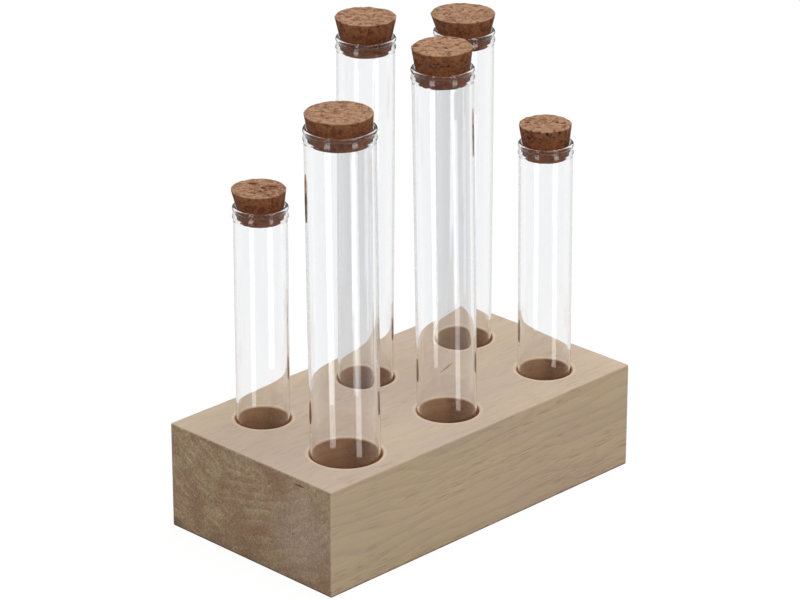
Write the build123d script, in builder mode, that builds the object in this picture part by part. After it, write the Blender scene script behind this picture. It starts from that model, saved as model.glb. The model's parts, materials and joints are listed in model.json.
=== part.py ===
from build123d import *
import os
from dataclasses import dataclass
from math import acos, atan2, degrees

# Test tube vase: a block of pine with six bores, a glass tube standing loose in each bore,
# and a tapered cork in each tube.
#
# Sizes are in millimetres. +Z is up, +X runs along the block's grain and -Y is its front.
# The origin is the middle of the face that the block stands on.

# Block
block_length = 190.0
block_width = 101.0
block_height = 50.0
edge_rounding = 0.8

# Bores: two rows of three, measured from the block's faces to the bores' axes
left_end_to_bore = 32.8
right_end_to_bore = 30.8
front_to_bore = 24.2
back_to_bore = 24.8
bore_floor = 10.0
bore_play = 0.6
bore_mouth_chamfer = 0.5

# Glass, the same on all six tubes
glass_wall = 0.8
dome_gap = 0.2
bead_radius = 0.95
bead_proud = 0.4
groove_drop = 2.6
groove_depth = 0.1
ridge_drop = 4.3
ridge_proud = 0.45
neck_length = 6.8

# Corks, the same on all six
cork_gap = 0.15
cork_plug = 6.5
cork_plug_taper = 0.4
cork_chamfer = 0.4

# Front left tube and cork
front_left_diameter = 30.8
front_left_length = 189.3
front_left_cork_top = 29.3
front_left_cork_stand = 6.6
front_left_lean_share = -0.20

# Front middle tube and cork
front_middle_diameter = 26.8
front_middle_length = 200.3
front_middle_cork_top = 26.4
front_middle_cork_stand = 9.4
front_middle_lean_share = -0.37

# Front right tube and cork
front_right_diameter = 24.1
front_right_length = 149.6
front_right_cork_top = 23.6
front_right_cork_stand = 8.9
front_right_lean_share = -0.18

# Back left tube and cork
back_left_diameter = 23.8
back_left_length = 140.1
back_left_cork_top = 24.0
back_left_cork_stand = 8.0
back_left_lean_share = 0.03

# Back middle tube and cork
back_middle_diameter = 25.8
back_middle_length = 201.6
back_middle_cork_top = 27.0
back_middle_cork_stand = 9.4
back_middle_lean_share = 0.12

# Back right tube and cork
back_right_diameter = 27.2
back_right_length = 189.7
back_right_cork_top = 29.0
back_right_cork_stand = 8.0
back_right_lean_share = 0.01

# The loose tubes lean along this level line, towards the front right corner or away from it
lean_line = Vector(1, -1, 0).normalized()


@dataclass
class Place:
    """One bore of the block, with the tube and the cork that it holds."""

    name: str
    column: int
    row: int
    tube_diameter: float
    tube_length: float
    cork_top: float
    cork_stand: float
    lean_share: float

    @property
    def bore_x(self):
        """Where the bore's axis stands along the block."""
        left_bore = left_end_to_bore - block_length / 2
        right_bore = block_length / 2 - right_end_to_bore
        return left_bore + (right_bore - left_bore) * (self.column + 1) / 2

    @property
    def bore_y(self):
        """Where the bore's axis stands across the block."""
        side_to_bore = front_to_bore if self.row < 0 else back_to_bore
        return self.row * (block_width / 2 - side_to_bore)

    @property
    def tube_radius(self):
        """Outer radius of the tube's body."""
        return self.tube_diameter / 2

    @property
    def bead_centre_radius(self):
        """Distance from the tube's axis to the middle of the bead's round section."""
        return self.tube_radius + bead_proud - bead_radius

    @property
    def cork_neck_radius(self):
        """Radius of the cork where the mouth squeezes it."""
        return self.bead_centre_radius - bead_radius - cork_gap

    def axis_plane(self):
        """The tube's own plane: origin at the lowest point of its dome, normal along its axis.

        The tube leans as far as lean_share of its play lets it. Its foot goes one way in the
        bore and its upper part goes as far the other way at the mouth.
        """
        sway = lean_line * (self.lean_share * bore_play)
        held_height = block_height - bore_floor - dome_gap - self.tube_radius
        dome_centre = Vector(self.bore_x, self.bore_y, bore_floor + dome_gap + self.tube_radius) - sway
        up = (sway * 2 + Vector(0, 0, held_height)).normalized()
        return Plane(origin=dome_centre - up * self.tube_radius, z_dir=up)

    def section_plane(self):
        """The plane that the tube and the cork are drawn on: X outwards, Y along the tube's axis."""
        seat = self.axis_plane()
        return Plane(origin=seat.origin, x_dir=seat.x_dir, z_dir=-seat.y_dir)

    def tube_axis(self):
        """The line that the tube and the cork are turned about."""
        seat = self.axis_plane()
        return Axis(seat.origin, seat.z_dir)


places = [
    Place("front_left", -1, -1, front_left_diameter, front_left_length,
          front_left_cork_top, front_left_cork_stand, front_left_lean_share),
    Place("front_middle", 0, -1, front_middle_diameter, front_middle_length,
          front_middle_cork_top, front_middle_cork_stand, front_middle_lean_share),
    Place("front_right", 1, -1, front_right_diameter, front_right_length,
          front_right_cork_top, front_right_cork_stand, front_right_lean_share),
    Place("back_left", -1, 1, back_left_diameter, back_left_length,
          back_left_cork_top, back_left_cork_stand, back_left_lean_share),
    Place("back_middle", 0, 1, back_middle_diameter, back_middle_length,
          back_middle_cork_top, back_middle_cork_stand, back_middle_lean_share),
    Place("back_right", 1, 1, back_right_diameter, back_right_length,
          back_right_cork_top, back_right_cork_stand, back_right_lean_share),
]


def make_block():
    """The block, with its edges softened and a flat-bottomed bore for each tube."""
    with BuildPart() as block:
        with BuildSketch(Plane.XY):
            Rectangle(block_length, block_width)
        extrude(amount=block_height)
        fillet(block.edges(), edge_rounding)
        for place in places:
            with Locations((place.bore_x, place.bore_y, block_height)):
                Hole(radius=place.tube_radius + bore_play, depth=block_height - bore_floor)
        bore_mouths = block.edges().filter_by(GeomType.CIRCLE).group_by(Axis.Z)[-1]
        chamfer(bore_mouths, bore_mouth_chamfer)
    return block.part


def s_curve(start, end):
    """Two equal arcs, one after the other, that leave start and reach end along the tube."""
    middle = (Vector(*start) + Vector(*end)) / 2
    along = (0, end[1] - start[1])
    first = TangentArc(start, middle, tangent=along)
    TangentArc(middle, end, tangent=first % 1)


def make_tube(place):
    """A blown glass tube: domed bottom, neck with a ridge and a groove, rolled rim.

    The wall is thin all the way up, so its inside follows the ridge and the groove.
    """
    outer = place.tube_radius
    inner = outer - glass_wall
    top = place.tube_length
    neck_foot = top - neck_length
    ridge = (outer + ridge_proud, top - ridge_drop)
    groove = (outer - groove_depth, top - groove_drop)
    ridge_inside = (ridge[0] - glass_wall, ridge[1])
    groove_inside = (groove[0] - glass_wall, groove[1])
    bead_centre = (place.bead_centre_radius, top - bead_radius)

    # The bead starts where an arc that leaves the groove's floor along the tube touches it
    reach = groove[0] - bead_centre[0]
    drop = bead_centre[1] - groove[1]
    groove_radius = (reach**2 + drop**2 - bead_radius**2) / (2 * (bead_radius - reach))
    under_angle = degrees(atan2(drop, reach + groove_radius))
    lip_angle = degrees(acos((bead_centre[0] - groove_inside[0]) / bead_radius))

    with BuildPart() as tube:
        with BuildSketch(place.section_plane()):
            with BuildLine():
                CenterArc((0, outer), outer, -90, 90)
                Line((outer, outer), (outer, neck_foot))
                s_curve((outer, neck_foot), ridge)
                s_curve(ridge, groove)
                bead = CenterArc(bead_centre, bead_radius, -under_angle, under_angle + 180 + lip_angle)
                TangentArc(groove, bead @ 0, tangent=(0, 1))
                Line(bead @ 1, groove_inside)
                s_curve(groove_inside, ridge_inside)
                s_curve(ridge_inside, (inner, neck_foot))
                Line((inner, neck_foot), (inner, outer))
                CenterArc((0, outer), inner, 0, -90)
                Line((0, glass_wall), (0, 0))
            make_face()
        revolve(axis=place.tube_axis())
    return tube.part


def make_cork(place):
    """A tapered cork: a plug squeezed by the tube's mouth, flaring above it to a wider flat top."""
    neck_height = place.tube_length - bead_radius
    neck = place.cork_neck_radius
    foot_height = place.tube_length - cork_plug
    head_height = place.tube_length + place.cork_stand
    with BuildPart() as cork:
        with BuildSketch(place.section_plane()):
            with BuildLine():
                Polyline((0, foot_height), (neck - cork_plug_taper, foot_height),
                         (neck, neck_height), (place.cork_top / 2, head_height),
                         (0, head_height), close=True)
            make_face()
        revolve(axis=place.tube_axis())
        rings = cork.edges().filter_by(GeomType.CIRCLE).sort_by(Axis.Z)
        chamfer([rings[0], rings[-1]], cork_chamfer)
    return cork.part


def keep(part, name):
    """Give a finished piece its name and write it to its own file."""
    part.label = name
    export_step(part, f"parts/{name}.step")


os.makedirs("parts", exist_ok=True)
keep(make_block(), "block")
for place in places:
    keep(make_tube(place), f"tube_{place.name}")
    keep(make_cork(place), f"cork_{place.name}")
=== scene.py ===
"""Test tube vase: a pine block with six bores, a glass tube in each bore and a cork in each tube.

Lengths are in metres, most of them written as a number of millimetres times MM. +Z is up, +X runs
along the block's grain and -Y is its front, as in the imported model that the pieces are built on.
"""

import json
import logging
import math
from dataclasses import dataclass, field
from enum import Enum
from functools import cache
from typing import Callable

import bpy
from mathutils import Matrix, Vector, noise


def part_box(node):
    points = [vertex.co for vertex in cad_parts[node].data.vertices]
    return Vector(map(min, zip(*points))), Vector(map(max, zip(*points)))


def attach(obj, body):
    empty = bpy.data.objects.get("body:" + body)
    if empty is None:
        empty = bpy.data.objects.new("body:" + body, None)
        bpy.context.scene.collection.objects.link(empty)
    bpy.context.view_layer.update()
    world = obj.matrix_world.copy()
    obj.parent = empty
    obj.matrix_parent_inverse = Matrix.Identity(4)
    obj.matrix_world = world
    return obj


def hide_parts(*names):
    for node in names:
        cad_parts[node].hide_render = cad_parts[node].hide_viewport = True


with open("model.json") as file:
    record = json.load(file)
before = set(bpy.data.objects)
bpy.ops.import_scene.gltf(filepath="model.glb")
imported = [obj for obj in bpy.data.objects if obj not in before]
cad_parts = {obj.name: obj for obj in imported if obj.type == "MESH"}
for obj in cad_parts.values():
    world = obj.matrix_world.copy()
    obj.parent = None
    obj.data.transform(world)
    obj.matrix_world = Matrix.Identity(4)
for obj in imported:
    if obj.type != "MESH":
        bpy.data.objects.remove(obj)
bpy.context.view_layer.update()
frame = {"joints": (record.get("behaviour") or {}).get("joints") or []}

MM = 0.001
FULL_TURN = 2 * math.pi

# Corners closer than this are one corner
MERGE_DISTANCE = MM / 500
# Surfaces of glass that a line of sight passes in one tube, and in two
ONE_TUBE, TWO_TUBES = 4.0, 8.0
# A normal with more than this along Z faces up
FACING_UP = 0.7
# The level way from the camera's side to the far side
AWAY = (0.707, 0.707, 0.0)

Piece = bpy.types.Object
Material = bpy.types.Material
Tree = bpy.types.NodeTree
Node = bpy.types.Node
Socket = bpy.types.NodeSocket
Colour = tuple[float, float, float, float]
Triple = tuple[float, float, float]
Span = tuple[float, float]
log = logging.getLogger("test_tube_vase")


class Slot(Enum):
    """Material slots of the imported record."""

    PINE = "pine"
    GLASS = "glass"
    CORK = "cork"


class Row(Enum):
    """The two rows of bores, by the side of the block that they are near."""

    FRONT = -1
    BACK = 1


class Column(Enum):
    """The three columns of bores, from the block's -X end to its +X end."""

    LEFT = -1
    MIDDLE = 0
    RIGHT = 1


class Ray(Enum):
    """Outputs of the Light Path node that the materials choose by."""

    CAMERA = "Is Camera Ray"
    SHADOW = "Is Shadow Ray"
    DIFFUSE = "Is Diffuse Ray"
    TRANSMISSION = "Is Transmission Ray"


def clamp(value: float) -> float:
    """Keep a number from 0 to 1."""
    return min(1.0, max(0.0, value))


class Bench:
    """The modelling steps that several pieces share."""

    @staticmethod
    def clear() -> None:
        """Leave edit mode and deselect every object."""
        if bpy.context.object and bpy.context.object.mode != "OBJECT":
            bpy.ops.object.mode_set(mode="OBJECT")
        bpy.ops.object.select_all(action="DESELECT")

    @staticmethod
    def take(piece: Piece) -> None:
        """Make a piece the only selected object and the active one.

        Args:
            piece: The object to work on.
        """
        Bench.clear()
        piece.select_set(True)
        bpy.context.view_layer.objects.active = piece

    @staticmethod
    def added(name: str) -> Piece:
        """Name the primitive that was just added.

        Args:
            name: The piece's name.

        Returns:
            The new object.
        """
        piece = bpy.context.object
        piece.name = name
        piece.data.name = name
        return piece

    @staticmethod
    def pick_faces(piece: Piece, wanted: Callable[[bpy.types.MeshPolygon], bool]) -> None:
        """Select the faces that pass a test and enter edit mode on them.

        Args:
            piece: The object whose faces are picked.
            wanted: Says whether a face is picked.
        """
        Bench.take(piece)
        bpy.ops.object.mode_set(mode="EDIT")
        bpy.ops.mesh.select_mode(type="FACE")
        bpy.ops.mesh.select_all(action="DESELECT")
        bpy.ops.object.mode_set(mode="OBJECT")
        for face in piece.data.polygons:
            face.select = wanted(face)
        bpy.ops.object.mode_set(mode="EDIT")

    @staticmethod
    def apply_modifiers(piece: Piece) -> None:
        """Apply every modifier of a piece, in order.

        Args:
            piece: The object whose modifiers are applied.
        """
        Bench.take(piece)
        for name in [modifier.name for modifier in piece.modifiers]:
            bpy.ops.object.modifier_apply(modifier=name)

    @staticmethod
    def smooth(piece: Piece, crease: float = 180.0) -> None:
        """Shade a piece smooth.

        Args:
            piece: The object.
            crease: The angle between two faces, in degrees, from which their edge stays sharp.
        """
        Bench.take(piece)
        if crease < 180.0:
            bpy.ops.object.shade_smooth_by_angle(angle=math.radians(crease))
        else:
            bpy.ops.object.shade_smooth()

    @staticmethod
    def settle(piece: Piece, place: Matrix) -> None:
        """Move a piece to its place and keep that place in its mesh.

        Args:
            piece: The finished object.
            place: Where the piece's own origin and axes go.
        """
        Bench.take(piece)
        piece.matrix_world = place @ piece.matrix_world
        bpy.ops.object.transform_apply(location=True, rotation=True, scale=True)


@dataclass
class Outline:
    """Half the section of a turned piece, drawn in steps from its foot.

    Attributes:
        points: (distance from the axis, height) of each point so far.
    """

    points: list[Span] = field(default_factory=list)

    def to(self, radius: float, height: float, steps: int = 1) -> None:
        """Go straight to a point.

        Args:
            radius: The point's distance from the axis.
            height: The point's height.
            steps: How many equal runs the line is cut into.
        """
        first = self.points[-1] if self.points else (radius, height)
        for i in range(1, steps + 1):
            share = i / steps
            across = first[0] + (radius - first[0]) * share
            along = first[1] + (height - first[1]) * share
            self.points.append((across, along))

    def arc(self, centre: Span, radius: float, start: float, end: float, steps: int) -> None:
        """Go round a centre.

        Args:
            centre: The arc's middle, as (distance from the axis, height).
            radius: The arc's radius.
            start: Angle of its first point, in degrees from straight outwards.
            end: Angle of its last point.
            steps: How many equal runs the arc is cut into.
        """
        for i in range(steps + 1):
            angle = math.radians(start + (end - start) * i / steps)
            across = centre[0] + radius * math.cos(angle)
            self.points.append((across, centre[1] + radius * math.sin(angle)))

    def swell(self, radius: float, height: float, steps: int) -> None:
        """Go to a point on an S that starts and ends along the axis.

        Args:
            radius: The point's distance from the axis.
            height: The point's height.
            steps: How many runs the S is cut into.
        """
        first = self.points[-1]
        for i in range(1, steps + 1):
            share = i / steps
            eased = (1 - math.cos(math.pi * share)) / 2
            across = first[0] + (radius - first[0]) * eased
            self.points.append((across, first[1] + (height - first[1]) * share))

    def turn(self, name: str, steps: int) -> Piece:
        """Draw the outline by extruding one corner from point to point, and spin it into a solid.

        Args:
            name: The new piece's name.
            steps: How many faces go round the axis.

        Returns:
            The turned piece, upright, with its axis on the world's Z axis.
        """
        start = self.points[0]
        Bench.clear()
        bpy.ops.mesh.primitive_plane_add(size=MM, location=(start[0], 0, start[1]))
        piece = Bench.added(name)
        bpy.ops.object.transform_apply(location=True, rotation=True, scale=True)
        bpy.ops.object.mode_set(mode="EDIT")
        bpy.ops.mesh.select_mode(type="VERT")
        bpy.ops.mesh.select_all(action="SELECT")
        bpy.ops.mesh.merge(type="CENTER")
        for last, point in zip(self.points, self.points[1:]):
            run = (point[0] - last[0], 0, point[1] - last[1])
            bpy.ops.mesh.extrude_vertices_move(TRANSFORM_OT_translate={"value": run})
        bpy.ops.mesh.select_all(action="SELECT")
        bpy.ops.mesh.spin(steps=steps, angle=FULL_TURN, center=(0, 0, 0), axis=(0, 0, 1))
        bpy.ops.mesh.select_all(action="SELECT")
        bpy.ops.mesh.remove_doubles(threshold=MERGE_DISTANCE)
        bpy.ops.mesh.normals_make_consistent(inside=False)
        bpy.ops.object.mode_set(mode="OBJECT")
        return piece


class NodeSheet:
    """A node tree being laid out, with short calls for the nodes that the finishes use."""

    def __init__(self, tree: Tree) -> None:
        """Start on an existing tree, which nodes are added to."""
        self.tree = tree

    @classmethod
    def empty(cls, owner: Material | bpy.types.World) -> "NodeSheet":
        """Start on a material or a world with an empty tree.

        Args:
            owner: The material or the world.

        Returns:
            A sheet on its tree.
        """
        owner.use_nodes = True
        owner.node_tree.nodes.clear()
        return cls(owner.node_tree)

    def add(self, kind: str, **settings: object) -> Node:
        """Add a node.

        Args:
            kind: The node's type name, without the word ShaderNode.
            settings: Attributes to set on the node.

        Returns:
            The new node.
        """
        node = self.tree.nodes.new("ShaderNode" + kind)
        for name, value in settings.items():
            setattr(node, name, value)
        return node

    def feed(self, target: Socket, source: object) -> None:
        """Link a socket to another, or give it a plain value.

        Args:
            target: The input socket.
            source: An output socket, a number, a vector or a colour.
        """
        if isinstance(source, Socket):
            self.tree.links.new(source, target)
        else:
            target.default_value = source

    def fill(self, node: Node, inputs: dict[str, object]) -> Node:
        """Give a node its inputs.

        Args:
            node: The node.
            inputs: Value or socket of each input, by its name with _ for a space.

        Returns:
            The same node.
        """
        for name, source in inputs.items():
            self.feed(node.inputs[name.replace("_", " ")], source)
        return node

    def shade(self, kind: str, **inputs: object) -> Node:
        """Add a node of some kind with its inputs, each by its name with _ for a space."""
        return self.fill(self.add(kind), inputs)

    def send(self, shader: Node, output: str = "OutputMaterial") -> None:
        """Send a shader to the output."""
        self.shade(output, Surface=shader.outputs[0])

    def surface(self) -> tuple[Socket, Socket]:
        """Look up a point of the surface, in the object's own frame.

        Returns:
            Its place, in millimetres, and its normal.
        """
        coordinates = self.add("TexCoord")
        place = self.vector("SCALE", coordinates.outputs["Object"])
        place.node.inputs["Scale"].default_value = 1 / MM
        return place, coordinates.outputs["Normal"]

    def split(self, source: Socket) -> tuple[Socket, ...]:
        """Take a vector apart into its three numbers."""
        return tuple(self.shade("SeparateXYZ", Vector=source).outputs)

    def join(self, x: Socket, y: Socket, z: object = 0.0) -> Socket:
        """Put three numbers together into a vector."""
        return self.shade("CombineXYZ", X=x, Y=y, Z=z).outputs[0]

    def distance(self, place: Socket, centre: object, axes: Triple) -> Socket:
        """Find how far a point is from a centre, along the axes that count."""
        offset = self.vector("MULTIPLY", self.vector("SUBTRACT", place, centre), axes)
        return self.vector("LENGTH", offset)

    def tone(self, colour: Socket, level: Socket) -> Socket:
        """Multiply a colour by a number."""
        spread = self.shade("CombineColor", Red=level, Green=level, Blue=level).outputs[0]
        return self.mix(1.0, colour, spread, "MULTIPLY")

    def lay(self, colour: Socket, tint: Colour, mask: Socket, share: object) -> Socket:
        """Lay a tint over a colour where a mask shows, by a share of the mask."""
        return self.mix(self.math("MULTIPLY", mask, share), colour, tint)

    def bump(self, height: Socket, strength: float, depth: float) -> Socket:
        """Turn the normal as relief would that is finer than the mesh."""
        node = self.shade("Bump", Height=height, Strength=strength, Distance=depth)
        return node.outputs["Normal"]

    def total(self, *parts: tuple[Socket, float]) -> Socket:
        """Add numbers up.

        Args:
            parts: Each number with its weight.

        Returns:
            Their sum.
        """
        found: float | Socket = 0.0
        for source, weight in parts:
            found = self.math("ADD", found, self.math("MULTIPLY", source, weight))
        return found

    def math(self, operation: str, first: object, second: object = 0.0,
             clamp: bool = False) -> Socket:
        """Work out one number from one or two.

        Args:
            operation: The Math node's operation.
            first: First input.
            second: Second input.
            clamp: Whether the result is kept from 0 to 1.

        Returns:
            The result.
        """
        node = self.add("Math", operation=operation, use_clamp=clamp)
        self.feed(node.inputs[0], first)
        self.feed(node.inputs[1], second)
        return node.outputs[0]

    def vector(self, operation: str, first: object, second: object = (0.0, 0.0, 0.0)) -> Socket:
        """Work out one vector from one or two.

        Args:
            operation: The Vector Math node's operation.
            first: First input.
            second: Second input.

        Returns:
            The result: a number where the operation gives one, otherwise a vector.
        """
        node = self.add("VectorMath", operation=operation)
        self.feed(node.inputs[0], first)
        self.feed(node.inputs[1], second)
        return node.outputs["Value" if operation in ("LENGTH", "DOT_PRODUCT") else "Vector"]

    def noise(self, place: object, scale: float = 1.0, detail: float = 2.0, rough: float = 0.5,
              colour: bool = False) -> Socket:
        """Look a point up in a cloudy pattern around a half, or in three at once."""
        node = self.shade("TexNoise", Vector=place, Scale=scale, Detail=detail, Roughness=rough)
        return node.outputs["Color" if colour else "Fac"]

    def remap(self, value: object, low: float, high: float, to_low: object = 0.0,
              to_high: object = 1.0, smooth: bool = False) -> Socket:
        """Stretch a range onto another and stop at its ends.

        Args:
            value: The number to stretch.
            low: Start of its range.
            high: End of its range.
            to_low: What the start becomes.
            to_high: What the end becomes.
            smooth: Whether the ends are eased.

        Returns:
            The stretched number.
        """
        node = self.add("MapRange", interpolation_type="SMOOTHSTEP" if smooth else "LINEAR")
        self.fill(node, {"Value": value, "From Min": low, "From Max": high,
                         "To Min": to_low, "To Max": to_high})
        return node.outputs["Result"]

    def mix(self, share: object, first: object, second: object, blend: str = "MIX") -> Socket:
        """Mix two colours.

        Args:
            share: How much of the second shows.
            first: First colour.
            second: Second colour.
            blend: How the second is laid over the first.

        Returns:
            The mixed colour.
        """
        node = self.add("Mix", data_type="RGBA", blend_type=blend, clamp_factor=True)
        self.feed(node.inputs[0], share)
        self.feed(node.inputs[6], first)
        self.feed(node.inputs[7], second)
        return node.outputs[2]

    def ramp(self, value: object, stops: tuple[Span, ...]) -> Socket:
        """Bend a number along a line of stops.

        Args:
            value: The number, from 0 to 1.
            stops: (place, brightness) of each stop, in order.

        Returns:
            The bent number.
        """
        node = self.add("ValToRGB")
        elements = node.color_ramp.elements
        while len(elements) < len(stops):
            elements.new(1.0)
        for element, (place, level) in zip(elements, stops):
            element.position = place
            element.color = (level, level, level, 1)
        self.feed(node.inputs["Fac"], value)
        return node.outputs["Color"]

    def group(self, tree: Tree, **inputs: object) -> Node:
        """Place a node group with its own values, each by its name with _ for a space."""
        return self.fill(self.add("Group", node_tree=tree), inputs)

    def choose(self, share: object, first: Node, second: Node) -> Node:
        """Choose between two shaders, or blend them.

        Args:
            share: 0 for the first and 1 for the second.
            first: A shader's node.
            second: Another shader's node.

        Returns:
            The node that mixes them.
        """
        node = self.add("MixShader")
        self.feed(node.inputs[0], share)
        self.feed(node.inputs[1], first.outputs[0])
        self.feed(node.inputs[2], second.outputs[0])
        return node

    def after_mirror(self) -> Socket:
        """Tell whether a surface, such as glass, has mirrored the present ray on its way."""
        return self.math("GREATER_THAN", self.add("LightPath").outputs["Glossy Depth"], 0.5)

    def white_through(self, levels: Span) -> Socket:
        """Say how bright white is, with its levels seen through one tube and through two."""
        passed = self.add("LightPath").outputs["Transmission Depth"]
        return self.remap(passed, ONE_TUBE, TWO_TUBES, *levels)

    def any_ray(self, *rays: Ray) -> Socket:
        """Tell whether the present ray is one of some kinds.

        Args:
            rays: The kinds of ray.

        Returns:
            1 for such a ray and 0 for others.
        """
        path = self.add("LightPath")
        found = path.outputs[rays[0].value]
        for ray in rays[1:]:
            found = self.math("MAXIMUM", found, path.outputs[ray.value])
        return found


class Effect:
    """Shared effects, each a node group that is built once and used by several finishes."""

    @staticmethod
    def start(name: str, inputs: dict[str, object],
              outputs: list[str]) -> tuple[NodeSheet, dict[str, Socket], dict[str, Socket]]:
        """Open a new group with its named sockets.

        Args:
            name: The group's name.
            inputs: Each input's name and default: a number, or None for a vector.
            outputs: The names of the outputs, all numbers.

        Returns:
            The sheet, the sockets that bring the inputs in, and the sockets that take the outputs.
        """
        tree = bpy.data.node_groups.new(name, "ShaderNodeTree")
        for title, value in inputs.items():
            kind = "NodeSocketVector" if value is None else "NodeSocketFloat"
            socket = tree.interface.new_socket(title, in_out="INPUT", socket_type=kind)
            if value is not None:
                socket.default_value = value
        for title in outputs:
            tree.interface.new_socket(title, in_out="OUTPUT", socket_type="NodeSocketFloat")
        entry = tree.nodes.new("NodeGroupInput")
        leave = tree.nodes.new("NodeGroupOutput")
        ways_in = {socket.name: socket for socket in entry.outputs}
        ways_out = {socket.name: socket for socket in leave.inputs}
        return NodeSheet(tree), ways_in, ways_out

    @staticmethod
    @cache
    def fibres() -> Tree:
        """Fine streaks along X, with short dark dashes among them.

        Returns:
            A group that takes a place and the streaks' size, and gives Streaks and Dashes.
        """
        dash_stretch, dash_contrast = (2.6, 0.9, 0.9), 14.0
        sheet, ways_in, ways_out = Effect.start(
            "fibres", {"Place": None, "Length": 20.0, "Width": 0.5, "Dash level": 0.66},
            ["Streaks", "Dashes"])
        across = sheet.math("DIVIDE", 1.0, ways_in["Width"])
        along = sheet.math("DIVIDE", 1.0, ways_in["Length"])
        drawn = sheet.vector("MULTIPLY", ways_in["Place"], sheet.join(along, across, across))
        sheet.feed(ways_out["Streaks"], sheet.noise(drawn, detail=4.0, rough=0.6))
        dash = sheet.noise(sheet.vector("MULTIPLY", drawn, dash_stretch), detail=1.0, rough=0.4)
        over = sheet.math("SUBTRACT", dash, ways_in["Dash level"])
        sheet.feed(ways_out["Dashes"], sheet.math("MULTIPLY", over, dash_contrast, clamp=True))
        return sheet.tree

    @staticmethod
    @cache
    def mottle() -> Tree:
        """Slow, soft change of tone over a surface.

        Returns:
            A group that takes a place and a patch size, and gives a Tone around 1.
        """
        sheet, ways_in, ways_out = Effect.start(
            "mottle", {"Place": None, "Patch": 20.0, "Depth": 0.1}, ["Tone"])
        scale = sheet.math("DIVIDE", 1.0, ways_in["Patch"])
        cloud = sheet.noise(ways_in["Place"], scale, detail=3.0, rough=0.55)
        swing = sheet.math("MULTIPLY", sheet.math("SUBTRACT", cloud, 0.5), 2.0)
        tone = sheet.math("ADD", sheet.math("MULTIPLY", swing, ways_in["Depth"]), 1.0)
        sheet.feed(ways_out["Tone"], tone)
        return sheet.tree

    @staticmethod
    @cache
    def speckle() -> Tree:
        """Fine grains, some dark and some light.

        Returns:
            A group that takes a place and a grain size, and gives Grain and Dark spots.
        """
        spot_size, spot_contrast = 0.55, 12.0
        sheet, ways_in, ways_out = Effect.start(
            "speckle", {"Place": None, "Grain size": 1.0, "Spot level": 0.62},
            ["Grain", "Dark spots"])
        scale = sheet.math("DIVIDE", 1.0, ways_in["Grain size"])
        sheet.feed(ways_out["Grain"], sheet.noise(ways_in["Place"], scale, detail=3.0, rough=0.7))
        spots = sheet.noise(ways_in["Place"], sheet.math("MULTIPLY", scale, spot_size))
        over = sheet.math("SUBTRACT", spots, ways_in["Spot level"])
        sheet.feed(ways_out["Dark spots"], sheet.math("MULTIPLY", over, spot_contrast, clamp=True))
        return sheet.tree


def new_material(name: str) -> tuple[Material, NodeSheet]:
    """Make an empty material, and a sheet on its tree."""
    material = bpy.data.materials.new(name)
    return material, NodeSheet.empty(material)


def grey(level: float) -> Colour:
    """Return an even grey."""
    return (level, level, level, 1.0)


@dataclass(frozen=True)
class Cloud:
    """A cloudy pattern, cut to a range.

    Attributes:
        waves: How many waves it has in a millimetre along X, Y and Z.
        span: What part of the pattern counts.
        to: What the ends of that part become.
        detail: How many finer layers are added.
        rough: How strong the finer layers are.
        smooth: Whether the ends are eased.
    """

    waves: Triple
    span: Span
    to: Span = (0.0, 1.0)
    detail: float = 2.0
    rough: float = 0.5
    smooth: bool = True

    def on(self, sheet: NodeSheet, place: Socket) -> Socket:
        """Lay the pattern over a surface.

        Args:
            sheet: The material's sheet.
            place: The point, in millimetres.

        Returns:
            The pattern.
        """
        waved = sheet.vector("MULTIPLY", place, self.waves)
        cloud = sheet.noise(waved, detail=self.detail, rough=self.rough)
        return sheet.remap(cloud, *self.span, *self.to, smooth=self.smooth)


@dataclass(frozen=True)
class Flaw:
    """A small dark flaw in the wood.

    Attributes:
        at: Its middle, in millimetres.
        reach: Half its size along X, Y and Z, in millimetres.
        slant: How far it moves along Y for each step along X.
        depth: How dark it is, from 0 to 1.
        raggedness: How far its outline wanders, as a share of its size.
        fade: Where it starts to fade and where it ends, as shares of its size.
    """

    at: Triple
    reach: Triple
    slant: float = 0.0
    depth: float = 0.7
    raggedness: float = 1.6
    fade: Span = (0.55, 1.05)

    def mask(self, sheet: NodeSheet, place: Socket) -> Socket:
        """Mask the flaw.

        Args:
            sheet: The material's sheet.
            place: The point, in millimetres.

        Returns:
            How much of its dark colour shows.
        """
        x, y, z = sheet.split(sheet.vector("SUBTRACT", place, self.at))
        straight = sheet.math("SUBTRACT", y, sheet.math("MULTIPLY", x, self.slant))
        offset = sheet.vector("DIVIDE", sheet.join(x, straight, z), self.reach)
        near = sheet.vector("LENGTH", offset)
        wander = sheet.math("SUBTRACT", sheet.noise(place, 1.4), 0.5)
        ragged = sheet.total((near, 1.0), (wander, self.raggedness))
        return sheet.remap(ragged, *self.fade, self.depth, 0.0)


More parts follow.
